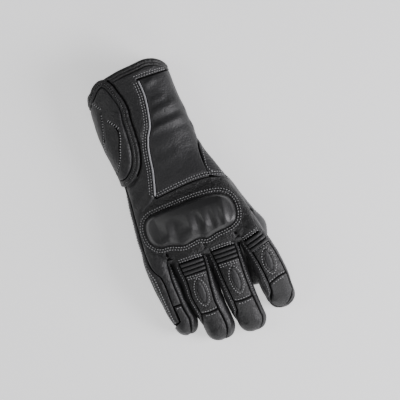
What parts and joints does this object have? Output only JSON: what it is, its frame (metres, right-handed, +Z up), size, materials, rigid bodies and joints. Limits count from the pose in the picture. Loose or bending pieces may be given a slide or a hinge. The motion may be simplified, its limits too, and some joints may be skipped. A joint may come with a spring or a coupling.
{
  "type": "motorcycle glove",
  "caption": "Right-hand gauntlet riding glove of padded leather, lying palm down, with a moulded knuckle guard, ribbed finger backs and a closing flap at the cuff.",
  "frame": {"origin": "middle of the glove on the surface it lies on", "axes": "+Z up out of the back of the hand, +Y from the fingertips to the cuff, +X towards the thumb side"},
  "size_m": [0.1333, 0.2924, 0.0593],
  "materials": {
    "leather": "smooth charcoal cowhide, satin, light grain",
    "grain_leather": "darker pebbled leather, matt",
    "soft_leather": "soft smooth leather with creases, satin sheen",
    "moulded_guard": "moulded satin guard over foam",
    "reflective_piping": "light grey reflective piping",
    "stitching": "grey twisted thread, double rows"
  },
  "bodies": {
    "root": {"gauntlet": "leather", "hand_back": "leather", "hand_palm": "leather", "little_finger": "leather", "ring_finger": "leather", "middle_finger": "leather", "index_finger": "leather", "wrist_strap": "leather", "cuff_flap": "leather", "little_cap": "leather", "ring_cap": "leather", "middle_cap": "leather", "index_cap": "leather", "knuckle_surround": "grain_leather", "flap_binding": "grain_leather", "cuff_binding": "grain_leather", "heel_patch": "grain_leather", "palm_patch": "grain_leather", "side_overlay": "grain_leather", "little_panel": "grain_leather", "ring_ribs": "grain_leather", "ring_panel": "grain_leather", "middle_ribs": "grain_leather", "middle_panel": "grain_leather", "index_ribs": "grain_leather", "index_panel": "grain_leather", "thumb": "soft_leather", "cuff_panel": "soft_leather", "palm_insert_outer": "soft_leather", "palm_insert_inner": "soft_leather", "ring_pad": "soft_leather", "middle_pad": "soft_leather", "index_pad": "soft_leather", "knuckle_guard": "moulded_guard", "reflective_piping": "reflective_piping"}
  },
  "joints": []
}
